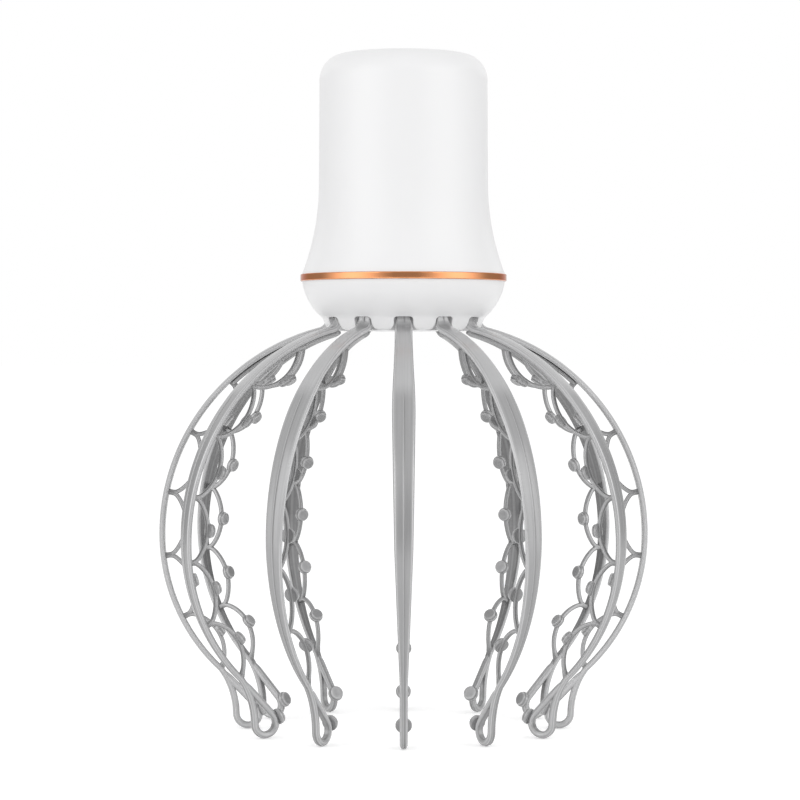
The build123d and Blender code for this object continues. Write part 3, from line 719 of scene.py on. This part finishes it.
# ================================ trim ring ================================
def make_trim_ring(material):
    """The polished ring in place of its CAD node, with rounded edges and enough sides to look round."""
    (low_x, _, bottom), (high_x, _, top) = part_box("trim_ring")
    outer = (high_x - low_x) / 2
    inner = outer - ring_width
    face, low, high = outer + ring_proud, bottom - ring_lip, top + ring_lip
    turns = [pi / 2 * i / corner_steps for i in range(corner_steps + 1)]
    corner = [(ring_round * (1 - sin(turn)), ring_round * (1 - cos(turn))) for turn in turns]
    profile = [(inner, bottom), (outer, bottom), (outer, low)]
    profile += [(face - inward, low + rise) for inward, rise in corner]
    profile += [(face - inward, high - rise) for inward, rise in corner[::-1]]
    profile += [(outer, high), (outer, top), (inner, top)]
    mesh = bmesh.new()
    rows = []
    turns = [2 * pi * i / ring_sides for i in range(ring_sides)]
    for x, z in profile:
        rows.append([mesh.verts.new((x * cos(turn), x * sin(turn), z)) for turn in turns])
    for first, second in zip(rows, rows[1:] + rows[:1]):
        for i in range(ring_sides):
            j = (i + 1) % ring_sides
            mesh.faces.new((first[i], first[j], second[j], second[i]))
    bmesh.ops.recalc_face_normals(mesh, faces=mesh.faces)
    for face in mesh.faces:
        face.smooth = True
    data = bpy.data.meshes.new("trim_ring_skin")
    mesh.to_mesh(data)
    mesh.free()
    data.set_sharp_from_angle(angle=ring_sharp)
    data.materials.append(material)
    ring = bpy.data.objects.new("trim_ring_skin", data)
    bpy.context.scene.collection.objects.link(ring)
    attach(ring, "housing")
    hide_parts("trim_ring")


# ================================ stage ================================
def make_camera():
    """The camera at the picture's angle: level with the cage and looking slightly down."""
    data = bpy.data.cameras.new("camera")
    data.sensor_width = sensor
    data.lens = sensor * focal_pixels / image_size
    camera = bpy.data.objects.new("camera", data)
    bpy.context.scene.collection.objects.link(camera)
    pitch = atan2(image_size / 2 - horizon, focal_pixels)
    camera.location = (-(axis_column - image_size / 2) * axis_scale, -camera_distance, camera_height)
    camera.rotation_euler = (pi / 2 - pitch, 0, 0)
    bpy.context.scene.camera = camera


def background_rays(nodes, links):
    """1 for rays that should see a white background: straight, by gloss or through glass."""
    path = nodes.new("ShaderNodeLightPath")
    seen = path.outputs["Is Camera Ray"]
    for name in ("Is Glossy Ray", "Is Transmission Ray"):
        either = nodes.new("ShaderNodeMath")
        either.operation = "MAXIMUM"
        links.new(seen, either.inputs[0])
        links.new(path.outputs[name], either.inputs[1])
        seen = either.outputs["Value"]
    return seen


def make_world():
    """A white background, and a softer white light from all round."""
    world = bpy.data.worlds.new("studio")
    world.use_nodes = True
    nodes, links = world.node_tree.nodes, world.node_tree.links
    nodes.clear()
    mix = nodes.new("ShaderNodeMixShader")
    out = nodes.new("ShaderNodeOutputWorld")
    links.new(background_rays(nodes, links), mix.inputs["Fac"])
    for socket, strength in ((1, world_fill), (2, 1.0)):
        light = nodes.new("ShaderNodeBackground")
        light.inputs["Color"].default_value = (1, 1, 1, 1)
        light.inputs["Strength"].default_value = strength
        links.new(light.outputs["Background"], mix.inputs[socket])
    links.new(mix.outputs["Shader"], out.inputs["Surface"])
    bpy.context.scene.world = world


def stage_place(turn, height, distance):
    """A place round the object. Turn is from the camera's side, in degrees."""
    return Vector((distance * sin(radians(turn)), -distance * cos(radians(turn)), height))


def face_object(item, place):
    """Puts a light or a card there and turns it to the object."""
    item.location = place
    item.rotation_euler = (Vector((0, 0, camera_height)) - place).to_track_quat("-Z", "Y").to_euler()


def add_softbox(name, turn, height, distance, width, tall, radiance):
    """A soft rectangular light that faces the object."""
    data = bpy.data.lights.new(name, "AREA")
    data.shape = "RECTANGLE"
    data.size, data.size_y = width, tall
    data.energy = radiance * pi * width * tall
    light = bpy.data.objects.new(name, data)
    bpy.context.scene.collection.objects.link(light)
    face_object(light, stage_place(turn, height, distance))
    light.visible_camera = False
    return light


def card_object(name, mesh):
    """A card that only shows in reflections. Its mesh attribute, tone, says how bright it is."""
    data = bpy.data.meshes.new(name)
    mesh.to_mesh(data)
    mesh.free()
    material, shader = start_material(f"{name}_grey", 1.0)
    nodes, links = material.node_tree.nodes, material.node_tree.links
    shader.inputs["Base Color"].default_value = (0, 0, 0, 1)
    shader.inputs["Specular IOR Level"].default_value = 0.0
    shader.inputs["Emission Color"].default_value = (1, 1, 1, 1)
    tone = nodes.new("ShaderNodeAttribute")
    tone.attribute_name = "tone"
    links.new(tone.outputs["Fac"], shader.inputs["Emission Strength"])
    data.materials.append(material)
    card = bpy.data.objects.new(name, data)
    bpy.context.scene.collection.objects.link(card)
    card.visible_camera = card.visible_diffuse = False
    card.visible_transmission = card.visible_shadow = False
    return card


def add_grey_card(name, turn, height, distance, width, tall):
    """A flat grey card, which gives the satin claws their dark bands."""
    mesh = bmesh.new()
    tone = mesh.verts.layers.float.new("tone")
    bmesh.ops.create_grid(mesh, x_segments=1, y_segments=1, size=0.5)
    bmesh.ops.scale(mesh, vec=(width, tall, 1), verts=mesh.verts)
    for vertex in mesh.verts:
        vertex[tone] = card_grey
    face_object(card_object(name, mesh), stage_place(turn, height, distance))


def band_tone(turn):
    """How bright the band is: dim, with a bright soft field on each side."""
    share = between(turn, *band_rise) * (1 - between(turn, *band_fall))
    share += band_ends * between(turn, *band_back)
    return band_dim + (band_bright - band_dim) * share


def add_band(name, middle, height, distance, tall):
    """A card all round the object, whose soft tones show in the copper ring."""
    mesh = bmesh.new()
    tone = mesh.verts.layers.float.new("tone")
    columns = []
    for turn in range(0, 360, band_step):
        column = []
        for side in (-0.5, 0.5):
            vertex = mesh.verts.new(stage_place(middle + turn, height + side * tall, distance))
            vertex[tone] = band_tone(min(turn, 360 - turn))
            column.append(vertex)
        columns.append(column)
    for (low, high), (next_low, next_high) in zip(columns, columns[1:] + columns[:1]):
        mesh.faces.new((low, next_low, next_high, high))
    card_object(name, mesh)


def make_floor():
    """A plain white floor that keeps a faint shadow."""
    material, shader = start_material("floor_white", 0.9)
    nodes, links = material.node_tree.nodes, material.node_tree.links
    tone = blend_colours(material, noise(material, floor_scale), (0.95, 0.95, 0.95), (0.97, 0.97, 0.97))
    links.new(tone, shader.inputs["Base Color"])
    shader.inputs["Specular IOR Level"].default_value = 0.0
    strength = nodes.new("ShaderNodeMath")
    strength.operation = "MULTIPLY"
    strength.inputs[1].default_value = floor_glow
    links.new(background_rays(nodes, links), strength.inputs[0])
    shader.inputs["Emission Color"].default_value = (1, 1, 1, 1)
    links.new(strength.outputs["Value"], shader.inputs["Emission Strength"])
    mesh = bmesh.new()
    bmesh.ops.create_grid(mesh, x_segments=8, y_segments=8, size=floor_reach)
    data = bpy.data.meshes.new("floor")
    mesh.to_mesh(data)
    mesh.free()
    data.materials.append(material)
    floor = bpy.data.objects.new("floor", data)
    bpy.context.scene.collection.objects.link(floor)


bpy.context.scene.view_settings.view_transform = "Standard"
materials = make_materials()
dress_nodes(materials)
make_claws(materials["claw_grey"])
make_trim_ring(materials["copper_trim"])
make_camera()
make_world()
# Name, turn, height, distance, width, tall, radiance
add_softbox("left_softbox", -50, 0.25, 1.2, 1.0, 1.6, 1.05)
add_softbox("right_softbox", 56, 0.25, 1.2, 1.0, 1.6, 1.02)
add_softbox("top_softbox", 0, 1.5, 0.6, 1.4, 0.9, 0.2).visible_glossy = False
# Name, turn, height, distance, width, tall
add_grey_card("front_card", 3, 0.2, 1.15, 0.66, 0.9)
add_grey_card("left_card", -111.5, 0.2, 1.1, 0.58, 0.9)
add_grey_card("right_card", 111.5, 0.2, 1.1, 0.58, 0.9)
# Name, turn of its middle, height, distance, tall
add_band("soft_band", 1.7, 0.2, 1.0, 0.3)
make_floor()
